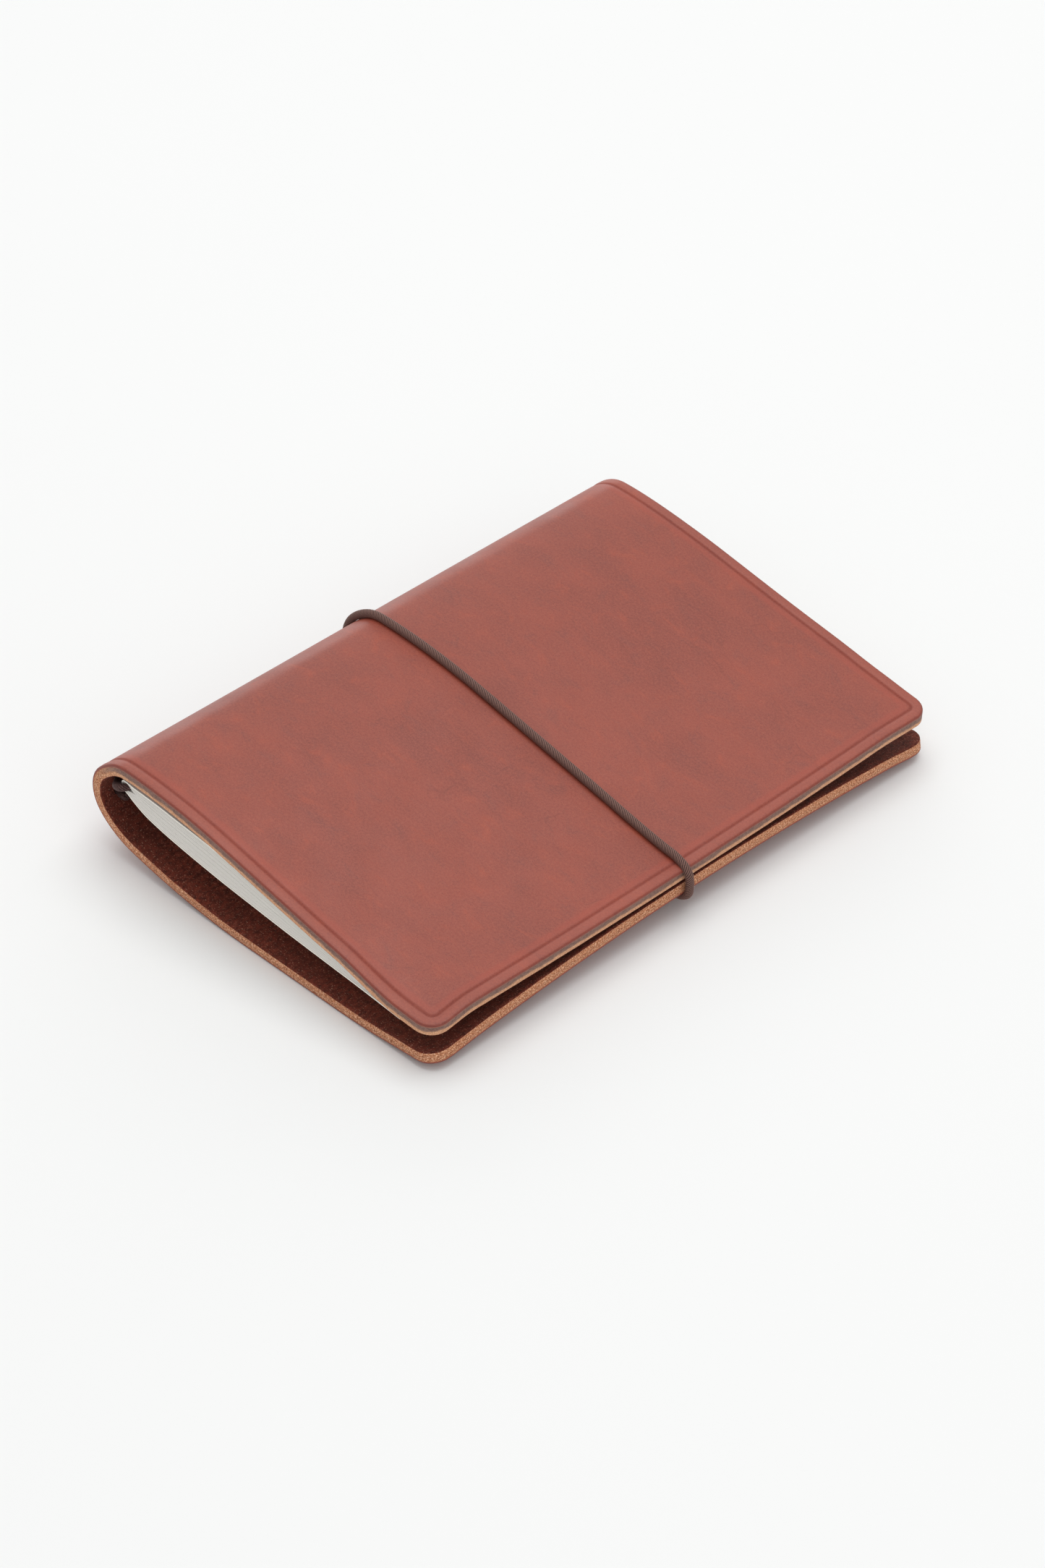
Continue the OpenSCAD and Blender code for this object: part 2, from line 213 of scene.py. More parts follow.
class Nodes:
    """Short calls for building a shader."""

    def __init__(self, name):
        self.mat = bpy.data.materials.new(name)
        self.mat.use_nodes = True
        self.tree = self.mat.node_tree
        self.shader = next(n for n in self.tree.nodes if n.type == "BSDF_PRINCIPLED")

    def add(self, kind, **settings):
        node = self.tree.nodes.new(kind)
        for key, value in settings.items():
            setattr(node, key, value)
        return node

    def put(self, value, socket):
        if hasattr(value, "links"):
            self.tree.links.new(value, socket)
        else:
            socket.default_value = value

    def attribute(self, name, vector=False):
        node = self.add("ShaderNodeAttribute", attribute_name=name)
        return node.outputs["Vector" if vector else "Fac"]

    def scaled(self, vector, scale, offset=(0, 0, 0)):
        node = self.add("ShaderNodeMapping")
        self.put(vector, node.inputs["Vector"])
        node.inputs["Scale"].default_value = scale
        node.inputs["Location"].default_value = offset
        return node.outputs["Vector"]

    def noise(self, vector, scale, detail=2.0, rough=0.5, distortion=0.0):
        node = self.add("ShaderNodeTexNoise")
        self.put(vector, node.inputs["Vector"])
        node.inputs["Scale"].default_value = scale
        node.inputs["Detail"].default_value = detail
        node.inputs["Roughness"].default_value = rough
        node.inputs["Distortion"].default_value = distortion
        return node.outputs["Fac"]

    def voronoi(self, vector, scale):
        node = self.add("ShaderNodeTexVoronoi", feature="F1")
        self.put(vector, node.inputs["Vector"])
        node.inputs["Scale"].default_value = scale
        return node.outputs["Distance"]

    def math(self, how, a, b=0.0, clamp=False):
        node = self.add("ShaderNodeMath", operation=how, use_clamp=clamp)
        self.put(a, node.inputs[0])
        self.put(b, node.inputs[1])
        return node.outputs[0]

    def part(self, vector, axis):
        node = self.add("ShaderNodeSeparateXYZ")
        self.put(vector, node.inputs[0])
        return node.outputs[axis]

    def between(self, value, low, high, to_low=0.0, to_high=1.0):
        """A smooth step from low to high."""
        node = self.add("ShaderNodeMapRange", interpolation_type="SMOOTHSTEP")
        self.put(value, node.inputs["Value"])
        for key, v in (("From Min", low), ("From Max", high), ("To Min", to_low), ("To Max", to_high)):
            node.inputs[key].default_value = v
        return node.outputs["Result"]

    def mix(self, factor, a, b, how="MIX"):
        node = self.add("ShaderNodeMix", data_type="RGBA", blend_type=how)
        self.put(factor, node.inputs["Factor"])
        self.put(a, [i for i in node.inputs if i.name == "A" and i.type == "RGBA"][0])
        self.put(b, [i for i in node.inputs if i.name == "B" and i.type == "RGBA"][0])
        return [o for o in node.outputs if o.type == "RGBA"][0]

    def bump(self, height, strength, distance):
        node = self.add("ShaderNodeBump")
        self.put(height, node.inputs["Height"])
        node.inputs["Strength"].default_value = strength
        node.inputs["Distance"].default_value = distance
        return node.outputs["Normal"]

    def finish(self, color, roughness, normal=None, **fixed):
        self.put(color, self.shader.inputs["Base Color"])
        self.put(roughness, self.shader.inputs["Roughness"])
        if normal is not None:
            self.put(normal, self.shader.inputs["Normal"])
        for key, value in fixed.items():
            self.shader.inputs[key.replace("_", " ")].default_value = value
        return self.mat


def grain_material():
    n = Nodes("leather_grain")
    flat = n.attribute("flat", True)
    inset = n.attribute("inset")
    cloud = n.noise(flat, 0.03, 4, 0.55, 0.4)
    patch = n.noise(n.scaled(flat, (0.05, 0.11, 0.1), (7, 3, 0)), 1.0, 3, 0.6, 0.8)
    fine = n.noise(flat, 1.8, 3, 0.65)
    dust = n.noise(flat, 4.2, 2, 0.6)
    pores = n.voronoi(flat, 2.4)
    tone = n.math("ADD", n.math("MULTIPLY", cloud, 0.6), n.math("MULTIPLY", patch, 0.4))
    color = n.mix(n.between(tone, 0.34, 0.66), srgb(133, 60, 47), srgb(151, 68, 51))
    mottle = n.noise(n.scaled(flat, (0.14, 0.22, 0.14), (4, 1, 0)), 1.0, 4, 0.7, 0.6)
    color = n.mix(n.between(mottle, 0.52, 0.72, 0.0, 0.5), color, srgb(170, 74, 48))
    color = n.mix(n.between(mottle, 0.48, 0.3, 0.0, 0.45), color, srgb(122, 62, 54))
    color = n.mix(n.between(fine, 0.3, 0.75, 0.0, 0.5), color, srgb(167, 88, 67))
    color = n.mix(n.between(dust, 0.5, 0.72, 0.0, 0.6), color, srgb(106, 46, 36))
    # a few dark veins that wander over the hide
    vein = n.noise(n.scaled(flat, (0.03, 0.05, 0.03), (2, 5, 0)), 1.0, 3, 0.5, 1.2)
    line = n.between(n.math("ABSOLUTE", n.math("SUBTRACT", vein, 0.5)), 0.0, 0.006, 1.0, 0.0)
    where = n.between(n.noise(flat, 0.02, 1), 0.48, 0.62)
    color = n.mix(n.math("MULTIPLY", n.math("MULTIPLY", line, where), 0.2), color, srgb(100, 44, 36))
    color = n.mix(n.between(pores, 0.0, 0.35, 0.16, 0.0), color, srgb(104, 46, 36))
    # creased line, the warmer strip inside it and the rubbed edge outside it
    crease = n.between(n.math("ABSOLUTE", n.math("SUBTRACT", inset, 2.7)), 0.0, 0.75, 1.0, 0.0)
    warm = n.between(n.math("ABSOLUTE", n.math("SUBTRACT", inset, 3.9)), 0.2, 1.3, 1.0, 0.0)
    color = n.mix(n.math("MULTIPLY", warm, 0.4), color, srgb(166, 70, 50))
    color = n.mix(n.math("MULTIPLY", crease, 0.42), color, srgb(114, 42, 32))
    margin = n.math("MULTIPLY", n.between(inset, 0.4, 0.9), n.between(inset, 2.5, 2.1))
    color = n.mix(n.math("MULTIPLY", margin, 0.25), color, srgb(174, 92, 74))
    color = n.mix(n.between(inset, 0.05, 0.4, 0.5, 0.0), color, srgb(118, 52, 42))
    height = n.math("ADD", n.math("MULTIPLY", fine, 0.6), n.math("MULTIPLY", pores, 0.25))
    height = n.math("ADD", height, n.math("MULTIPLY", n.noise(flat, 5.5, 2), 0.35))
    rough = n.between(n.noise(flat, 0.12, 3), 0.3, 0.7, 0.43, 0.51)
    rough = n.math("ADD", rough, n.math("MULTIPLY", crease, 0.35))
    return n.finish(color, rough, n.bump(height, 0.14, 0.0002), Specular_IOR_Level=0.45,
                    Coat_Weight=0.05, Coat_Roughness=0.4)


def edge_material():
    n = Nodes("leather_edge")
    flat = n.attribute("flat", True)
    s, depth = n.part(flat, 0), n.part(flat, 2)
    fibre = n.noise(n.scaled(flat, (1.6, 1.6, 3.2)), 1.0, 4, 0.7)
    speck = n.noise(flat, 3.6, 3, 0.7)
    core = n.mix(n.between(fibre, 0.36, 0.64), srgb(164, 96, 62), srgb(217, 148, 106))
    core = n.mix(n.between(speck, 0.52, 0.62, 0.0, 0.85), core, srgb(252, 210, 174))
    core = n.mix(n.between(speck, 0.46, 0.36, 0.0, 0.7), core, srgb(130, 74, 52))
    front = n.between(s, 108.0, 124.0)
    core = n.mix(n.math("MULTIPLY", front, 0.5), core, srgb(232, 182, 144))
    wander = n.math("MULTIPLY", n.math("SUBTRACT", n.noise(flat, 0.35, 3), 0.5), 1.0)
    level = n.math("ADD", depth, wander)
    band = n.math("MULTIPLY", n.between(level, 2.0, 1.45), n.between(front, 0.0, 1.0, 0.1, 0.92))
    color = n.mix(band, core, n.mix(n.between(fibre, 0.35, 0.65), srgb(104, 76, 70), srgb(138, 104, 94)))
    color = n.mix(n.between(depth, 0.74, 0.5, 0.0, 0.85), color, srgb(176, 96, 72))
    color = n.mix(n.between(depth, 0.5, 0.3, 0.0, 0.8), color, srgb(132, 60, 48))
    color = n.mix(n.between(depth, 2.4, 2.75, 0.0, 0.5), color, srgb(176, 104, 84))
    height = n.math("ADD", fibre, n.math("MULTIPLY", speck, 0.6))
    rough = n.between(band, 0.0, 1.0, 0.85, 0.5)
    return n.finish(color, rough, n.bump(height, 0.6, 0.0003), Specular_IOR_Level=0.3)


def flesh_material():
    n = Nodes("leather_flesh")
    flat = n.attribute("flat", True)
    nap = n.noise(n.scaled(flat, (1.2, 0.8, 1)), 1.0, 4, 0.7, 0.5)
    cloud = n.noise(flat, 0.06, 3)
    speck = n.noise(n.scaled(flat, (1.3, 2.1, 1), (3, 9, 1)), 1.6, 2, 0.8)
    color = n.mix(n.between(nap, 0.32, 0.68), srgb(68, 21, 12), srgb(124, 52, 36))
    color = n.mix(n.between(cloud, 0.35, 0.65, 0.0, 0.4), color, srgb(78, 28, 18))
    color = n.mix(n.between(speck, 0.58, 0.72, 0.0, 0.8), color, srgb(196, 148, 126))
    return n.finish(color, 0.85, n.bump(nap, 0.7, 0.0004), Specular_IOR_Level=0.25,
                    Sheen_Weight=0.2, Sheen_Roughness=0.6, Sheen_Tint=srgb(200, 140, 118))


def cord_material(name, dark, light):
    n = Nodes(name)
    flat = n.attribute("flat", True)
    thread = n.noise(n.scaled(flat, (1.5, 6, 6)), 1.0, 2, 0.6)
    rib = n.attribute("inset")
    # painted shade: the colour follows the rib height, dark in the grooves between the ribs and lighter on
    # their crests
    color = n.mix(n.between(rib, 0.15, 0.8), dark, light)
    # pale thread flecks kept to the rib crests: partly the thread's own colour, partly a painted highlight
    # where light falls on the crests
    color = n.mix(n.math("MULTIPLY", n.between(thread, 0.35, 0.7, 0.0, 0.4), rib), color, srgb(150, 116, 106))
    return n.finish(color, 0.72, n.bump(thread, 0.35, 0.0001), Specular_IOR_Level=0.3,
                    Sheen_Weight=0.06, Sheen_Roughness=0.4)


def paper_material():
    n = Nodes("paper")
    flat = n.attribute("flat", True)
    leaf = n.noise(n.scaled(flat, (0, 0, 14)), 1.0, 2, 0.6)
    fibre = n.noise(flat, 3.0, 3, 0.6)
    color = n.mix(n.between(leaf, 0.35, 0.65), srgb(226, 222, 215), srgb(236, 232, 226))
    color = n.mix(n.between(fibre, 0.4, 0.7, 0.0, 0.08), color, srgb(206, 198, 188))
    return n.finish(color, 0.85, n.bump(n.math("ADD", leaf, n.math("MULTIPLY", fibre, 0.3)), 0.15, 0.0001),
                    Specular_IOR_Level=0.25)


def card_material():
    n = Nodes("card")
    flat = n.attribute("flat", True)
    fibre = n.noise(n.scaled(flat, (1, 3, 3)), 1.2, 4, 0.65)
    blotch = n.noise(flat, 0.08, 3)
    color = n.mix(n.between(fibre, 0.35, 0.7), srgb(243, 237, 226), srgb(250, 246, 238))
    color = n.mix(n.between(blotch, 0.4, 0.7, 0.0, 0.15), color, srgb(232, 222, 206))
    return n.finish(color, 0.8, n.bump(fibre, 0.2, 0.0001), Specular_IOR_Level=0.3)


def steel_material():
    n = Nodes("staple_steel")
    flat = n.attribute("flat", True)
    drawn = n.noise(n.scaled(flat, (0.4, 8, 8)), 1.0, 2)
    color = n.mix(n.between(drawn, 0.3, 0.7), srgb(190, 190, 194), srgb(214, 214, 218))
    return n.finish(color, n.between(drawn, 0.3, 0.7, 0.25, 0.38), n.bump(drawn, 0.1, 0.00005), Metallic=1.0)


def floor_material():
    n = Nodes("floor_white")
    place = n.add("ShaderNodeTexCoord").outputs["Object"]
    return n.finish(n.mix(n.noise(place, 6.0, 2), (0.866, 0.872, 0.866, 1), (0.876, 0.882, 0.876, 1)), 0.75,
                    Specular_IOR_Level=0.15)


GRAIN = grain_material()
EDGE = edge_material()
FLESH = flesh_material()

# ---------------------------------------------------------------- the leather
# Places along the strip: the refill cord's holes, the closure cord's hole, and where the visual mesh is split
HOLE_IN = 106.4
HOLE_OUT = 103.1
HOLE_INSET = 4.5
HOLE_Y = HALF_L - HOLE_INSET
HOLE_R = 1.3
SEAM = 108.4
CORD_HOLE_S = 74.0
CORD_HOLE_R = 2.2

# The finished edge: its rounded bevel, the creased line inside it and the rows down the cut edge
BEVEL = 0.5
CREASE_INSET = 2.7
CREASE_DEPTH = 0.1
CREASE_WIDTH = 0.42
WALL_DEPTHS = [0.62, 0.85, 1.1, 1.35, 1.6, 1.85, 2.1, 2.35, 2.55]
# Insets of the mesh's rings round the edge: close together on the bevel and the creased line
RINGS = [0, 0.04, 0.1, 0.18, 0.28, 0.4, 0.55, 0.9, 1.5, 2.1, 2.4, 2.55, 2.7, 2.85, 3.0, 3.25,
         3.85, 4.5, 5.15, 5.8, 6.4, 7.0]
K = len(RINGS) - 1
BORDER = RINGS[K]


def ring_radius(inset):
    """Corner radius of the ring at this inset: the creased line turns much tighter than the cut edge."""
    return float(np.interp(inset, [0, 1, CREASE_INSET, 4.5, BORDER], [CORNER_R, 3.7, 1.3, 0.6, 0.0]))


def spread(stops, sizes):
    """Values from the first stop to the last, in steps no longer than the size given for each stretch."""
    found = []
    for a, b, size in zip(stops, stops[1:], sizes):
        n = max(1, int(math.ceil((b - a) / size)))
        found += list(np.linspace(a, b, n, endpoint=False))
    return found + [stops[-1]]


def grid_lines():
    """Lines of the mesh along and across the strip: two steps from each hole's middle to its edge."""
    hole = HOLE_R / 2
    cord = CORD_HOLE_R / 2
    bend_start, bend_end = 90, 128
    s_lines = spread([BORDER, CORD_HOLE_S - 4 * cord, CORD_HOLE_S + 4 * cord, bend_start, HOLE_OUT - 2 * hole,
                      HOLE_OUT + 2 * hole, HOLE_IN - 2 * hole, HOLE_IN + 2 * hole, SEAM, bend_end,
                      STRIP_L - BORDER],
                     [1.5, cord, 1.2, 0.5, hole, hole, hole, 0.4, 0.45, 1.5])
    y_lines = spread([BORDER - HALF_L, -4 * cord, 4 * cord, HALF_L - BORDER], [1.8, cord, 1.8])
    s_all = RINGS[:-1] + s_lines + [STRIP_L - r for r in reversed(RINGS[:-1])]
    y_all = [r - HALF_L for r in RINGS[:-1]] + y_lines + [HALF_L - r for r in reversed(RINGS[:-1])]
    return s_all, y_all


S_LINES, Y_LINES = grid_lines()
NS, NY = len(S_LINES), len(Y_LINES)


def place(i, j):
    """Developed place (s, y) and inset of a grid point, with the rounded corners."""
    ki, kj = min(i, NS - 1 - i), min(j, NY - 1 - j)
    s, y = S_LINES[i], Y_LINES[j]
    inset = RINGS[min(ki, kj)] if min(ki, kj) < K else min(s, STRIP_L - s, HALF_L - abs(y))
    if ki < K and kj < K:
        k = min(ki, kj)
        inset, r = RINGS[k], ring_radius(RINGS[k])
        # along the ring from the middle of the corner: first its arc, then straight on to the grid proper
        arc, straight = r * math.pi / 4, max(0.0, BORDER - inset - r)
        reach = (arc + straight) * (max(ki, kj) - k) / (K - k)
        turned = min(reach / r, math.pi / 4) if r > 0 else math.pi / 4
        near = inset + r - r * math.cos(math.pi / 4 - turned)
        far = inset + r - r * math.sin(math.pi / 4 - turned) + max(0.0, reach - arc)
        ds, dy = (near, far) if ki <= kj else (far, near)
        s = ds if i < K else STRIP_L - ds
        y = (dy - HALF_L) if j < K else (HALF_L - dy)
    return s, y, inset


def near_hole(s, y, centre, radius):
    """Grid points of the square round a hole are drawn onto its circle, and their neighbours follow."""
    ds, dy = s - centre[0], y - centre[1]
    square = max(abs(ds), abs(dy))
    if square < 1e-6 or square > 2 * radius:
        return s, y
    on_circle = square / math.hypot(ds, dy)
    ease = min(1.0, 2 - square / radius)
    factor = (1 - ease) + ease * on_circle
    return centre[0] + ds * factor, centre[1] + dy * factor


# Middle and radius of each hole
HOLES = [((CORD_HOLE_S, 0.0), CORD_HOLE_R)]
for side in (-1, 1):
    for at in (HOLE_IN, HOLE_OUT):
        HOLES.append(((at, side * HOLE_Y), HOLE_R))


def in_hole(s, y):
    return any(max(abs(s - c[0]), abs(y - c[1])) < radius * 0.99 for c, radius in HOLES)


def edge_noise(s, y, depth, size):
    return noise.noise(Vector((s * size, y * size, depth * size)))


def build_leather():
    """One folded strip of leather: grain face, flesh face, cut edge and punched holes, as a grid of quads."""
    plan = {}
    for i in range(NS):
        for j in range(NY):
            s, y, inset = place(i, j)
            for centre, radius in HOLES:
                s, y = near_hole(s, y, centre, radius)
            plan[i, j] = (s, y, inset)
    points, flat, inset_of, index = [], [], [], {}

    def add(key, s, y, depth, inset):
        index[key] = len(points)
        points.append(leather_point(s, y, depth))
        flat.append((s, y, depth))
        inset_of.append(inset)

    for (i, j), (s, y, inset) in plan.items():
        round_off = max(0.0, 1 - inset / BEVEL)
        top = BEVEL * (1 - math.sqrt(max(0.0, 1 - round_off ** 2)))
        crease = CREASE_DEPTH * math.exp(-((inset - CREASE_INSET) / CREASE_WIDTH) ** 2)
        swell = -0.05 * math.exp(-((inset - 1.5) / 0.6) ** 2)
        under = THICK - (0.2 * max(0.0, 1 - inset / 0.3) ** 2)
        add(("top", i, j), s, y, top + crease + swell, inset)
        add(("low", i, j), s, y, under + 0.05 * edge_noise(s, y, 3, 0.8), inset)
    border = ([(i, 0) for i in range(NS)] + [(NS - 1, j) for j in range(1, NY)]
              + [(i, NY - 1) for i in range(NS - 2, -1, -1)] + [(0, j) for j in range(NY - 2, 0, -1)])
    for i, j in border:
        s, y, _ = plan[i, j]
        si, yi, _ = plan[min(max(i, 1), NS - 2), min(max(j, 1), NY - 2)]
        d = math.hypot(s - si, y - yi) or 1.0
        out_s, out_y = (s - si) / d, (y - yi) / d
        for w, depth in enumerate(WALL_DEPTHS):
            bulge = 0.08 * math.sin(math.pi * (depth - BEVEL) / (THICK - BEVEL))
            rough = 0.05 * edge_noise(s, y, depth, 1.7) + 0.04 * edge_noise(s, y, depth, 4.1)
            out = bulge + rough - 0.04
            add(("wall", i, j, w), s + out_s * out, y + out_y * out, depth, 0.0)
    # column says which step along the strip a face belongs to, for the split at SEAM
    faces, slots, column = [], [], []
    grain, edge, flesh = 0, 1, 2

    def quad(keys, slot, i):
        faces.append([index[k] for k in keys])
        slots.append(slot)
        column.append(i)

    cells = {}
    for i in range(NS - 1):
        for j in range(NY - 1):
            sm = (S_LINES[i] + S_LINES[i + 1]) / 2
            ym = (Y_LINES[j] + Y_LINES[j + 1]) / 2
            cells[i, j] = not in_hole(sm, ym)
    for (i, j), solid in cells.items():
        if not solid:
            for di, dj, a, b in ((-1, 0, (0, 0), (0, 1)), (1, 0, (1, 1), (1, 0)),
                                 (0, -1, (1, 0), (0, 0)), (0, 1, (0, 1), (1, 1))):
                if cells[i + di, j + dj]:
                    p, q = (i + a[0], j + a[1]), (i + b[0], j + b[1])
                    quad([("top", *p), ("top", *q), ("low", *q), ("low", *p)], edge, i)
            continue
        quad([("top", i, j), ("top", i, j + 1), ("top", i + 1, j + 1), ("top", i + 1, j)], grain, i)
        quad([("low", i, j), ("low", i + 1, j), ("low", i + 1, j + 1), ("low", i, j + 1)], flesh, i)
    layers = len(WALL_DEPTHS)
    for a, b in zip(border, border[1:] + border[:1]):
        i = min(a[0], b[0]) if a[0] != b[0] else (a[0] if a[0] < NS / 2 else a[0] - 1)
        rows = [[("top", *p)] + [("wall", *p, w) for w in range(layers)] + [("low", *p)] for p in (a, b)]
        for w in range(layers + 1):
            quad([rows[0][w], rows[1][w], rows[1][w + 1], rows[0][w + 1]], edge, i)
    return points, faces, slots, column, flat, inset_of


def split_leather():
    """The strip as two pieces that meet at SEAM, because a blend reaches across one joint only."""
    points, faces, slots, column, flat, inset_of = build_leather()
    seam = int(np.argmin([abs(s - SEAM) for s in S_LINES]))
    made = []
    for name, keep in (("leather_back", lambda c: c < seam), ("leather_front", lambda c: c >= seam)):
        chosen = [k for k, c in enumerate(column) if keep(c)]
        used = sorted({v for k in chosen for v in faces[k]})
        renumber = {v: n for n, v in enumerate(used)}
        piece = new_mesh(name, [points[v] for v in used], [[renumber[v] for v in faces[k]] for k in chosen],
                         [slots[k] for k in chosen], [flat[v] for v in used], [inset_of[v] for v in used])
        for m in (GRAIN, EDGE, FLESH):
            piece.data.materials.append(m)
        made.append(piece)
    return made


leather_back, leather_front = split_leather()
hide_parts("back_leaf", "spine_strip")
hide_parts("front_leaf")
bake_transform(leather_back)
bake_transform(leather_front)

# ---------------------------------------------------------------- cords
CORD_R = 0.9
REFILL_R = 0.85
CORD_STEP = 0.115
CORD_ROUND = 5.6
STRANDS = 8
RIB_PITCH = 0.46


def tube_faces(n, sides, capped):
    """Faces of a tube of n rings."""
    faces = []
    for i in range(n - 1):
        for k in range(sides):
            q, r = i * sides + k, i * sides + (k + 1) % sides
            faces.append([q, r, r + sides, q + sides])
    if capped:
        faces += [list(range(sides - 1, -1, -1)), [(n - 1) * sides + k for k in range(sides)]]
    return faces


def braided(name, centre, along, radius, material, sides=32, capped=False):
    """A laid cord along a sampled line: its strands wind round it and stand out as slanting ribs."""
    n = len(centre)
    tangent = np.gradient(centre, axis=0)
    tangent /= np.linalg.norm(tangent, axis=1)[:, None]
    side = np.zeros_like(tangent)
    start = np.array([0, 1.0, 0]) if abs(tangent[0][1]) < 0.9 else np.array([1.0, 0, 0])
    for i in range(n):
        start = start - (start @ tangent[i]) * tangent[i]
        start /= np.linalg.norm(start)
        side[i] = start
    other = np.cross(tangent, side)
    points, flat, rib = [], [], []
    for i in range(n):
        for k in range(sides):
            turn = k / sides
            level = (0.5 + 0.5 * math.cos(2 * math.pi * (along[i] / RIB_PITCH - STRANDS * turn))) ** 0.7
            r = radius * (0.91 + 0.10 * level)
            a = 2 * math.pi * turn
            points.append(centre[i] + r * (math.cos(a) * side[i] + math.sin(a) * other[i]))
            flat.append((turn * CORD_ROUND, along[i], 0.0))
            # the rib height, stored as the inset attribute, is what the cord material paints groove shade and
            # crest highlight from
            rib.append(level)
    made = new_mesh(name, points, tube_faces(n, sides, capped), None, flat, rib)
    made.data.materials.append(material)
    return made


def s_at(x):
    """Developed length where the outer face of the front leaf has this x."""
    low, high = STRIP_L, FRONT_START
    for _ in range(40):
        mid = (low + high) / 2
        if outer(mid)[0] > x:
            low = mid
        else:
            high = mid
    return (low + high) / 2


def resting(s, y):
    """Centre of a cord that lies on the leather's outer face."""
    return leather_point(s, y, -CORD_R - 0.03)


def cord_y(x):
    """The cord lies a little askew: it drifts towards the tail at the fore-edge."""
    return -1.0 - 0.9 * min(1.0, max(0.0, (x - 20) / 30)) ** 2


# The closure cord's route: out of its hole, under the back leaf, round the fore-edge, over the front leaf,
# round the bend and back under the back leaf to the hole
UNDER_OUT = [(-24, 1.05, 5.6), (-24, 1.05, 3.6), (-23.8, 1.05, 2.1), (-22.4, 1.0, 1.15), (-19, 0.8, 0.95),
             (-10, 0.3, 0.93), (0, -0.2, 0.93), (12, -0.7, 0.93), (22, -1.1, 0.95), (30, -1.4, 1.1)]
FORE_TURN = [(36, -1.6, 1.5), (42, -1.85, 2.5), (46.5, -2.0, 3.6), (49.2, -2.05, 4.6), (50.5, -2.05, 5.9),
             (50.75, -2.0, 7.6), (50.7, -2.0, 9.4), (50.35, -2.0, 10.9), (49.2, -2.0, 12.15)]
OVER = [resting(s_at(x), cord_y(x)) for x in (46.5, 43, 38, 32, 24, 16, 8, 0, -8, -16, -24, -32)]
BEND = [resting(s, -1.0) for s in np.arange(122, 92, -1.6)]
UNDER_BACK = [(-38, -1.0, 2.6), (-33.5, -1.02, 1.45), (-30, -1.03, 1.1), (-27, -1.05, 1.0), (-25, -1.05, 1.3),
              (-24.1, -1.05, 2.3), (-24, -1.05, 3.8), (-24, -1.05, 5.6)]
# the dark colour is painted shade in the braid's grooves; the light one is the rib crests
CORD_BROWN = cord_material("cord_braid", srgb(34, 19, 16), srgb(122, 88, 79))

# Where the loop begins and ends under the back leaf
LOOP_START_X = 29
LOOP_END_X = -31


def closure_cord():
    """One turn round the closed cover, in three pieces: the middle one is the loop that is slipped off."""
    centre, along = catmull(UNDER_OUT + FORE_TURN + OVER + BEND + UNDER_BACK, CORD_STEP)
    end = len(centre) - 1
    first = int(np.argmin(np.abs(centre[:len(centre) // 3, 0] - LOOP_START_X)))
    last = end - int(np.argmin(np.abs(centre[::-1][:len(centre) // 5, 0] - LOOP_END_X)))
    made = []
    for name, a, b in (("cord_from_knot", 0, first), ("cord_loop", first, last), ("cord_to_knot", last, end)):
        made.append(braided(name, centre[a:b + 1], along[a:b + 1], CORD_R, CORD_BROWN))
        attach(made[-1], "back")
    return made


cord_loop = closure_cord()[1]
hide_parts("closure_cord")
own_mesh(cord_loop)


def knot_path(centre, size, flat_axis):
    """A trefoil: the simplest overhand knot, pulled tight."""
    found = []
    for t in np.linspace(0, 2 * math.pi, 41):
        u = (math.sin(t) + 2 * math.sin(2 * t)) / 3
        v = (math.cos(t) - 2 * math.cos(2 * t)) / 3
        w = -math.sin(3 * t) * 0.45
        p = (u, v, w) if flat_axis == 2 else (w, u, v)
        found.append(tuple(c + size * q for c, q in zip(centre, p)))
    return found


# Pulled tight, a knot's turns are thinner than the free cord
CLOSURE_KNOT_R = 0.72
REFILL_KNOT_R = 0.5
closure_knot_line = catmull(knot_path((-24, 0, 6.35), 1.75, 2), CORD_STEP)
closure_knot = braided("closure_knot_tied", *closure_knot_line, CLOSURE_KNOT_R, CORD_BROWN, sides=16)
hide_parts("closure_knot")
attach(closure_knot, "back")

# the refill cord and its knots are much darker than the closure cord: partly the cord's own darker colour,
# partly painted shade for where they sit inside the spine; its dark colour is also the painted groove shade
REFILL_BROWN = cord_material("refill_cord_braid", srgb(30, 14, 14), srgb(74, 46, 44))


def refill_route():
    """From a knot inside the spine out and in through two holes, down the fold, and the same at the head."""
    hx, hz, _ = outer(HOLE_IN)
    lx, lz, _ = outer(HOLE_OUT)
    half = [(-45.2, -HOLE_Y, 12.9), (-46.6, -HOLE_Y, 12.7), (lx, -HOLE_Y, lz),
            (lx - 0.75, -HOLE_Y, lz + 0.45), (-50.95, -HOLE_Y, 14.3), (hx - 0.75, -HOLE_Y, hz - 0.45),
            (hx, -HOLE_Y, hz), (-47.6, -HOLE_Y, 16.2), (-45.6, -69.0, 17.3), (-43.8, -70.9, 18.5),
            (-42.2, -71.7, 19.4), (-40.9, -71.7, 19.95), (-40.25, -71.0, 20.05), (-40.1, -69.4, 20.05),
            (-40.1, -66.0, 20.05), (-40.1, -55, 20.05), (-40.1, -30, 20.05), (-40.1, -8, 20.05)]
    return half + [(x, -y, z) for x, y, z in reversed(half)]


refill = braided("refill_cord_line", *catmull(refill_route(), CORD_STEP), REFILL_R, REFILL_BROWN, capped=True)
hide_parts("refill_cord")
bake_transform(refill)
for side, name in ((-1, "refill_knot_tail"), (1, "refill_knot_head")):
    knot_line = catmull(knot_path((-45.5, side * HOLE_Y, 12.8), 0.62, 0), CORD_STEP)
    knot = braided(name, *knot_line, REFILL_KNOT_R, REFILL_BROWN, sides=12)
    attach(knot, "spine")
    if side < 0:
        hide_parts("refill_knots")

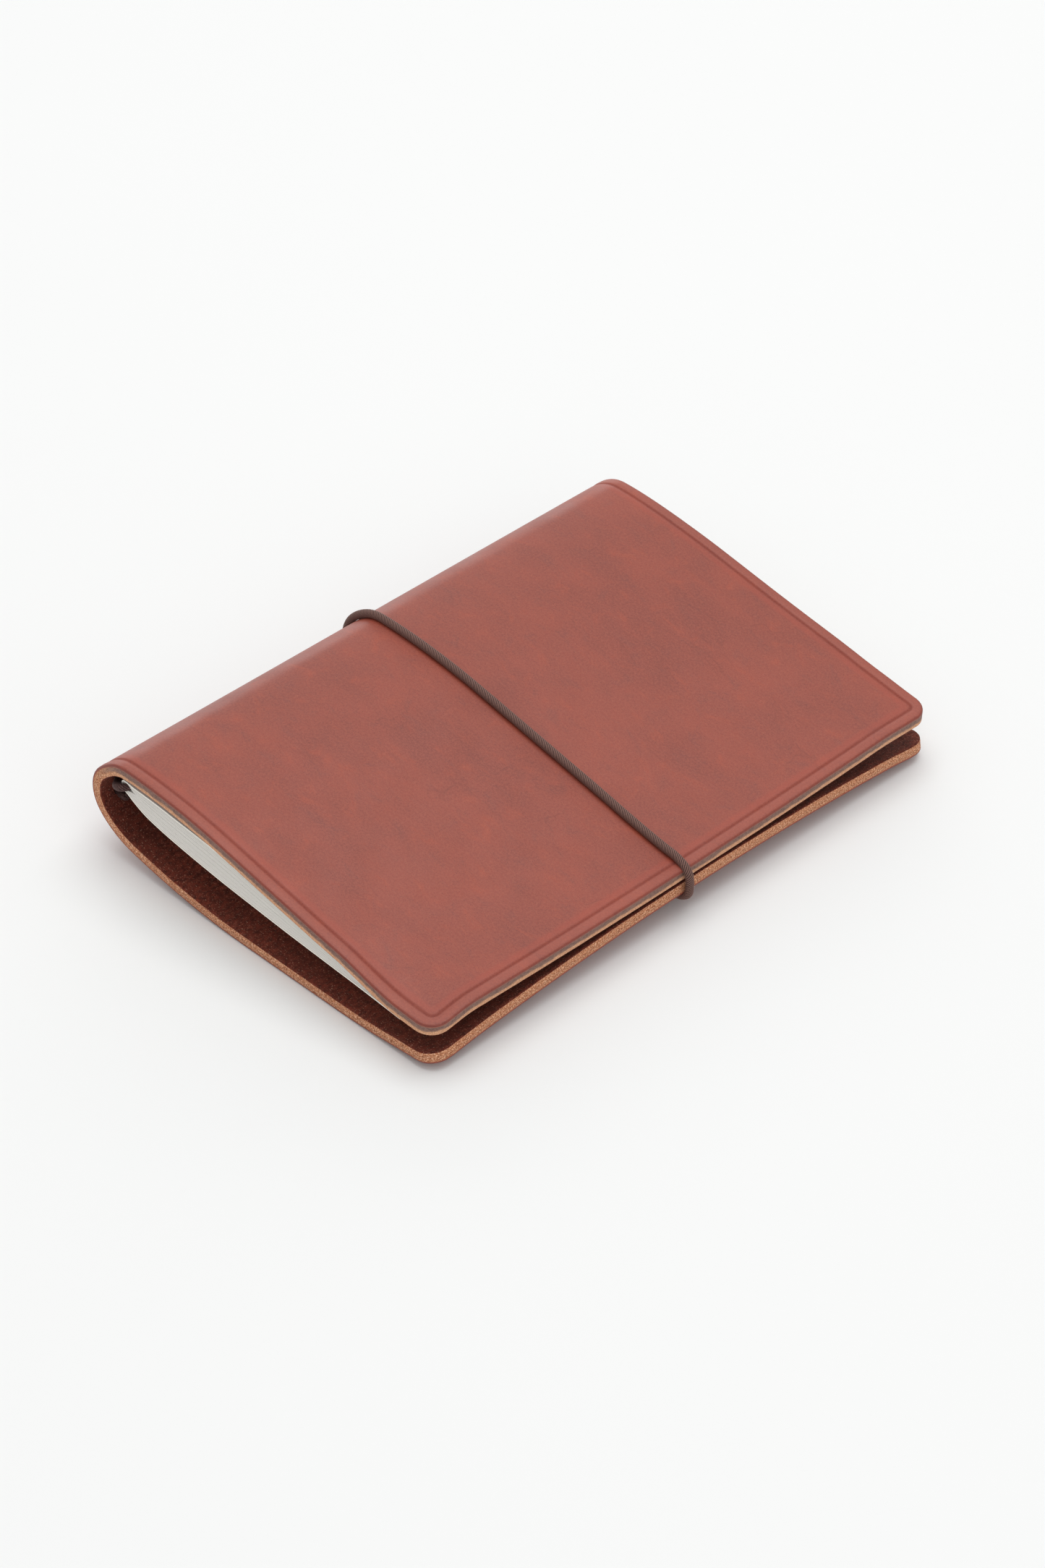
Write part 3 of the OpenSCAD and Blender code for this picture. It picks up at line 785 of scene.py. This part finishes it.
# ---------------------------------------------------------------- the booklet
# Half its length, and the x and z of its inner fold
BOOK_HALF = 71.0
FOLD = (-40.1, 20.05)
SECTIONS = 3
SHEETS = 9
SHEET_STEP = 1.1
# How far the outermost sheet's fore-edge is drawn in, in the back half and in the front half
LOW_CREEP = -3.4
TOP_CREEP = -0.8
CARD_THICK = 0.34
# From the card's outer face to the outermost sheet, and how far the card stands out at both ends
CARD_GAP = 0.42
CARD_PAST = 0.4
# Heights across the closed booklet, at each x: its middle and the outer face of its card's back half
PAGE_X = [-38, -35, -30, -24, -13, -2, 8, 18, 29, 36, 43]
MID_Z = [19.5, 18.9, 18.1, 17.3, 15.9, 14.2, 12.8, 11.4, 9.9, 9.0, 8.1]
LOW_Z = [16.9, 15.6, 14.4, 13.4, 12.0, 11.0, 10.2, 9.55, 8.95, 8.5, 8.0]


def top_under(x, gap):
    """Height of the front leaf's inner face at x, less a gap."""
    s = s_at(x)
    for _ in range(12):
        px, pz, h = outer(s)
        s += (x - (px + (THICK + gap) * math.sin(h))) * math.cos(h)
    px, pz, h = outer(s)
    return pz - (THICK + gap) * math.cos(h)


# the card follows the front leaf closely, and hangs a little lower towards the spine
TOP_Z = [top_under(x, 0.15 + 1.05 * smooth((-8 - x) / 12)) for x in PAGE_X]


def eased_creep(x, creep):
    """How far a sheet or the card is drawn in at x, growing towards the fore-edge."""
    return creep * min(1.0, max(0.0, (x - 20) / 23))


def leaf_line(outer_z, side, f):
    """One half of a folded sheet, from the fold to the fore-edge, a fraction f of the way out to the card."""
    r = 0.95 + 0.62 * f
    turn = [(FOLD[0] - r * math.cos(a), FOLD[1] + side * r * math.sin(a))
            for a in np.radians([4, 22, 42, 62, 80])]
    z = [m + (o - side * CARD_GAP - m) * f for m, o in zip(MID_Z, outer_z)]
    path = [(x, 0, zz) for x, zz in turn] + [(x, 0, zz) for x, zz in zip(PAGE_X, z)]
    line, _ = catmull(path, SHEET_STEP)
    return [(p[0], p[2]) for p in line]


def section(name, outer_z, side, f0, f1, creep_out, material):
    """Half of one section's sheets as thin leaves. The further out, the more its fore-edge is drawn in."""
    points, faces, flat = [], [], []
    step = (f1 - f0) / SHEETS
    for k in range(SHEETS):
        a = leaf_line(outer_z, side, f0 + step * (k + 0.06))
        b = leaf_line(outer_z, side, f0 + step * (k + 0.94))
        n = min(len(a), len(b))
        ends = BOOK_HALF - 0.04 * abs(noise.noise(Vector((k * 1.7, f0 * 9, side * 3))))
        creep = creep_out * (f0 + step * k)
        base = len(points)
        for m in range(n):
            u = m / (n - 1)
            pa = a[round(u * (len(a) - 1))]
            pb = b[round(u * (len(b) - 1))]
            for p, f in ((pa, 0.0), (pb, 1.0)):
                x = p[0] + eased_creep(p[0], creep)
                for y in (-ends, ends):
                    points.append((x, y, p[1]))
                    flat.append((m * SHEET_STEP, y, (f0 + step * (k + f)) * 8 * side))
        for m in range(n - 1):
            q = base + 4 * m
            ring = ((0, 1, 5, 4), (3, 2, 6, 7), (2, 0, 4, 6), (1, 3, 7, 5))
            faces += [[q + c for c in face] for face in ring]
        faces += [[base, base + 2, base + 3, base + 1]]
        q = base + 4 * (n - 1)
        faces += [[q, q + 1, q + 3, q + 2]]
    if side < 0:
        faces = [face[::-1] for face in faces]
    made = new_mesh(name, points, faces, None, flat, None, smooth_faces=False)
    made.data.materials.append(material)
    return made


PAPER = paper_material()
for side, label, body, outer_z, creep_out in ((-1, "back", "back", LOW_Z, LOW_CREEP),
                                              (1, "front", "booklet_front", TOP_Z, TOP_CREEP)):
    for k in range(SECTIONS):
        f0, f1 = k / SECTIONS + 0.01, (k + 1) / SECTIONS - 0.005
        piece = section(f"sheets_{label}_{k + 1}", outer_z, side, f0, f1, creep_out, PAPER)
        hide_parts(f"section_{label}_{k + 1}")
        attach(piece, body)


def card_cover():
    """The booklet's cover: one card folded round the sheets."""
    low = [(x + eased_creep(x, LOW_CREEP), z) for x, z in zip(PAGE_X, LOW_Z)][::-1]
    high = list(zip(PAGE_X, TOP_Z))
    fold_r = 1.78
    fold = [(FOLD[0] - fold_r * math.cos(a), FOLD[1] + fold_r * math.sin(a))
            for a in np.radians([-78, -55, -30, 0, 30, 55, 78])]
    line, along = catmull([(x, 0, z) for x, z in low + fold + high], 0.35)
    tangent = np.gradient(line, axis=0)
    tangent /= np.linalg.norm(tangent, axis=1)[:, None]
    points, flat, faces = [], [], []
    rows = list(np.linspace(-1, 1, 13))
    for p, t, a in zip(line, tangent, along):
        # the upper half stands out a little past the sheets at both ends
        half = BOOK_HALF + 0.02 + CARD_PAST * smooth((p[2] - MID_Z[0] + 0.132 * (p[0] - PAGE_X[0])) / 2.5)
        for depth in (0.0, CARD_THICK):
            for row in rows:
                y = row * half
                points.append((p[0] + t[2] * depth, y, p[2] - t[0] * depth))
                flat.append((a, y, depth))
    n = len(rows)
    for m in range(len(line) - 1):
        for c in range(n - 1):
            q = m * 2 * n + c
            faces.append([q, q + 1, q + 2 * n + 1, q + 2 * n])
            faces.append([q + n, q + 3 * n, q + 3 * n + 1, q + n + 1])
        for c, back in ((0, True), (n - 1, False)):
            q = m * 2 * n + c
            face = [q, q + 2 * n, q + 3 * n, q + n]
            faces.append(face if back else face[::-1])
    last = (len(line) - 1) * 2 * n
    for c in range(n - 1):
        faces.append([c, c + n, c + n + 1, c + 1])
        faces.append([last + c, last + c + 1, last + c + n + 1, last + c + n])
    made = new_mesh("booklet_card", points, faces, None, flat)
    made.data.materials.append(card_material())
    made.modifiers.new("edges", "EDGE_SPLIT").split_angle = math.radians(40)
    return made


card = card_cover()
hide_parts("booklet_card_back", "booklet_card_front")
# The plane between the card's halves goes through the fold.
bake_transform(card)


def wire(name, path, radius, material):
    """A plain round wire."""
    centre, along = catmull(path, 0.15)
    sides = 10
    tangent = np.gradient(centre, axis=0)
    tangent /= np.linalg.norm(tangent, axis=1)[:, None]
    side = np.array([0.3, 0.2, 1.0])
    points, flat = [], []
    for i in range(len(centre)):
        side = side - (side @ tangent[i]) * tangent[i]
        side /= np.linalg.norm(side)
        other = np.cross(tangent[i], side)
        for k in range(sides):
            a = 2 * math.pi * k / sides
            points.append(centre[i] + radius * (math.cos(a) * side + math.sin(a) * other))
            flat.append((along[i], math.cos(a), math.sin(a)))
    made = new_mesh(name, points, tube_faces(len(centre), sides, True), None, flat)
    made.data.materials.append(material)
    return made


STAPLE_Y = 32
STAPLE_R = 0.24
STEEL = steel_material()


def staple_path(middle):
    """Both legs go in through the fold; the crown lies along it outside."""
    tail_half = [(-41.2, -5.2, 20.2), (-41.9, -5.95, 20.3), (-42.1, -5.6, 20.35), (-42.1, -3, 20.35)]
    whole = tail_half + [(x, -y, z) for x, y, z in reversed(tail_half)]
    return [(x, middle + y, z) for x, y, z in whole]


for side, name in ((-1, "staple_tail"), (1, "staple_head")):
    staple = wire(name, staple_path(side * STAPLE_Y), STAPLE_R, STEEL)
    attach(staple, "back")
    if side < 0:
        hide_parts("staples")

# ---------------------------------------------------------------- floor, lights and camera
FLOOR_HALF = 4000
FLOOR_SIGNS = ((-1, -1), (1, -1), (1, 1), (-1, 1))
floor = new_mesh("floor", [(x * FLOOR_HALF, y * FLOOR_HALF, 0) for x, y in FLOOR_SIGNS], [[0, 1, 2, 3]])
floor.data.materials.append(floor_material())

world = bpy.data.worlds.new("studio")
bpy.context.scene.world = world
world.use_nodes = True
sky = world.node_tree.nodes["Background"]
sky.inputs["Color"].default_value = (1.0, 1.0, 1.0, 1)
sky.inputs["Strength"].default_value = 0.53


def soft_light(name, place, aim, size, power):
    """An area light in metres and watts that faces aim."""
    data = bpy.data.lights.new(name, "AREA")
    data.shape = "RECTANGLE"
    data.size, data.size_y = size
    data.energy = power
    made = bpy.data.objects.new(name, data)
    bpy.context.scene.collection.objects.link(made)
    made.location = place
    made.rotation_euler = (Vector(aim) - Vector(place)).to_track_quat("-Z", "Y").to_euler()


soft_light("key", (-0.1, 0.25, 1.6), (0, 0, 0.01), (1.5, 1.5), 15.0)
soft_light("fill", (0.9, -0.5, 0.9), (0, 0, 0.01), (1.2, 1.2), 2.8)
soft_light("backdrop", (-1.5, 1.2, 0.45), (0, 0, 0.03), (2.2, 0.8), 9.0)

CAMERA_AZIMUTH = math.radians(45.506)
CAMERA_ELEVATION = math.radians(38.418)
CAMERA_FAR = 0.931015
CAMERA_SHIFT = (0.000717, 0.003227)
CAMERA_LENS = 102.952
CAMERA_SENSOR = 36
sa, ca = math.sin(CAMERA_AZIMUTH), math.cos(CAMERA_AZIMUTH)
se, ce = math.sin(CAMERA_ELEVATION), math.cos(CAMERA_ELEVATION)
back = Vector((sa * ce, -ca * ce, se))
right = Vector((ca, sa, 0))
up = back.cross(right)
camera = bpy.data.objects.new("camera", bpy.data.cameras.new("camera"))
bpy.context.scene.collection.objects.link(camera)
camera.matrix_world = Matrix((right, up, back)).transposed().to_4x4()
camera.location = back * CAMERA_FAR + right * CAMERA_SHIFT[0] + up * CAMERA_SHIFT[1]
camera.data.sensor_width = CAMERA_SENSOR
camera.data.lens = CAMERA_LENS
camera.data.clip_start, camera.data.clip_end = 0.01, 20
bpy.context.scene.camera = camera
bpy.context.scene.view_settings.view_transform = "Standard"
